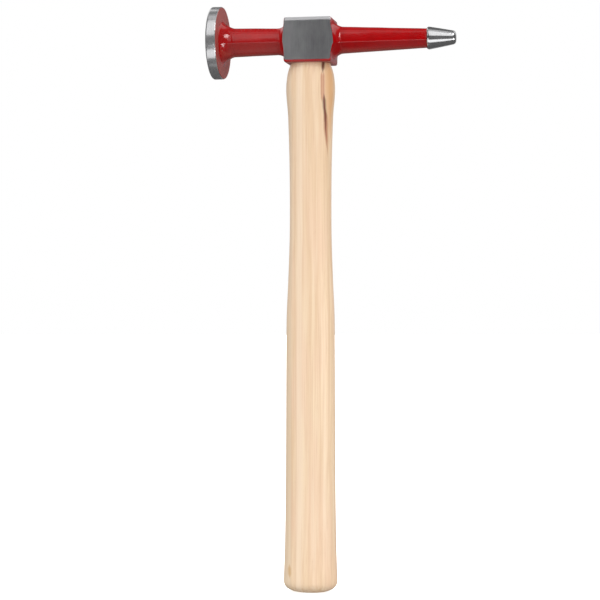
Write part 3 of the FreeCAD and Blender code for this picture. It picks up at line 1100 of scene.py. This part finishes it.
def floor():
    """White disc that the camera sees, bright enough to run on into the backdrop."""
    turns = np.linspace(0, 2 * math.pi, FLOOR_COLUMNS, endpoint=False)
    ring = np.column_stack([FLOOR_RADIUS * np.cos(turns), FLOOR_RADIUS * np.sin(turns),
                            np.zeros(FLOOR_COLUMNS)])
    plane = new_piece("floor", ring, [range(FLOOR_COLUMNS)])
    m = Material("floor_white", Roughness=1.0, Specular_IOR_Level=0.0,
                 Emission_Color=WHITE, Emission_Strength=FLOOR_GLOW)
    speckle = m.noise(m.stretched(4.0, 4.0, 4.0), 2.0, 0.5)
    m.set(m.surface, {"Base Color": m.mix(speckle, *FLOOR_GREYS)})
    plane.data.materials.append(m.data)
    only_seen_by(plane, camera=True)


def backdrop():
    """White shell behind everything, seen only by the camera."""
    turns = np.linspace(0, 2 * math.pi, BACKDROP_COLUMNS, endpoint=False)
    reach = FLOOR_RADIUS * BACKDROP_REACH
    rings = []
    for rise in np.radians(np.linspace(*BACKDROP_ELEVATIONS, BACKDROP_ROWS)):
        rings.append(np.column_stack([reach * math.cos(rise) * np.cos(turns),
                                      reach * math.cos(rise) * np.sin(turns),
                                      np.full(BACKDROP_COLUMNS, reach * math.sin(rise))]))
    dome = lofted("backdrop", rings)
    dome.data.materials.append(glowing("backdrop_white", 1.0))
    only_seen_by(dome, camera=True)


def card(name, low_elevation, high_elevation, from_azimuth, to_azimuth, distance, strength):
    """Panel that only polished surfaces reflect, part of a shell round the head."""
    turns = np.radians(np.linspace(from_azimuth, to_azimuth, CARD_COLUMNS))
    rings = []
    for rise in np.radians(np.linspace(low_elevation, high_elevation, CARD_ROWS)):
        rings.append(np.column_stack([np.sin(turns) * math.cos(rise),
                                      -np.cos(turns) * math.cos(rise),
                                      np.full(CARD_COLUMNS, math.sin(rise))]))
    points = np.array(rings) * distance + (0, 0, AXIS_Z)
    faces = grid_faces(CARD_ROWS, CARD_COLUMNS)[:, :-1].reshape(-1, 4)
    panel = new_piece(name, points.reshape(-1, 3), faces)
    panel.data.materials.append(glowing(name + "_light", strength))
    only_seen_by(panel, glossy=True)


def soft_sun(name, azimuth, elevation, strength, spread):
    """Broad light for the matte surfaces, which reflections don't show."""
    sun = bpy.data.lights.new(name, "SUN")
    sun.energy = strength
    sun.angle = math.radians(spread)
    obj = bpy.data.objects.new(name, sun)
    turn = math.radians(azimuth)
    rise = math.radians(elevation)
    towards = Vector((math.sin(turn) * math.cos(rise), -math.cos(turn) * math.cos(rise),
                      math.sin(rise)))
    obj.rotation_mode = "QUATERNION"
    obj.rotation_quaternion = towards.to_track_quat("Z", "Y")
    obj.visible_glossy = False
    bpy.context.scene.collection.objects.link(obj)


def world():
    """Faint even light from all round."""
    bpy.context.scene.world = bpy.data.worlds.new("studio")
    bpy.context.scene.world.use_nodes = True
    background = bpy.context.scene.world.node_tree.nodes["Background"]
    background.inputs["Color"].default_value = WHITE
    background.inputs["Strength"].default_value = WORLD_LEVEL


def studio():
    floor()
    backdrop()
    world()
    for name, settings in CARDS.items():
        card(name, *settings)
    for name, settings in SUNS.items():
        soft_sun(name, *settings)


CAMERA_AZIMUTH = 10.2
CAMERA_TURN = 0.321             # degrees more, which centres the hammer in the picture
CAMERA_DISTANCE = 1.050
CAMERA_HEIGHT = 0.1608
LENS = 114.24
SENSOR_WIDTH = 36
FAR_CLIP = 100


def camera():
    """Level camera at half the hammer's height, a little to the peen's side of the front."""
    data = bpy.data.cameras.new("camera")
    data.lens = LENS
    data.sensor_width = SENSOR_WIDTH
    data.clip_end = FAR_CLIP
    obj = bpy.data.objects.new("camera", data)
    turn = math.radians(CAMERA_AZIMUTH)
    obj.location = (CAMERA_DISTANCE * math.sin(turn), -CAMERA_DISTANCE * math.cos(turn),
                    CAMERA_HEIGHT)
    obj.rotation_euler = (math.radians(90), 0, math.radians(CAMERA_AZIMUTH + CAMERA_TURN))
    bpy.context.scene.collection.objects.link(obj)
    bpy.context.scene.camera = obj


studio()
camera()
bpy.context.scene.view_settings.view_transform = "Standard"
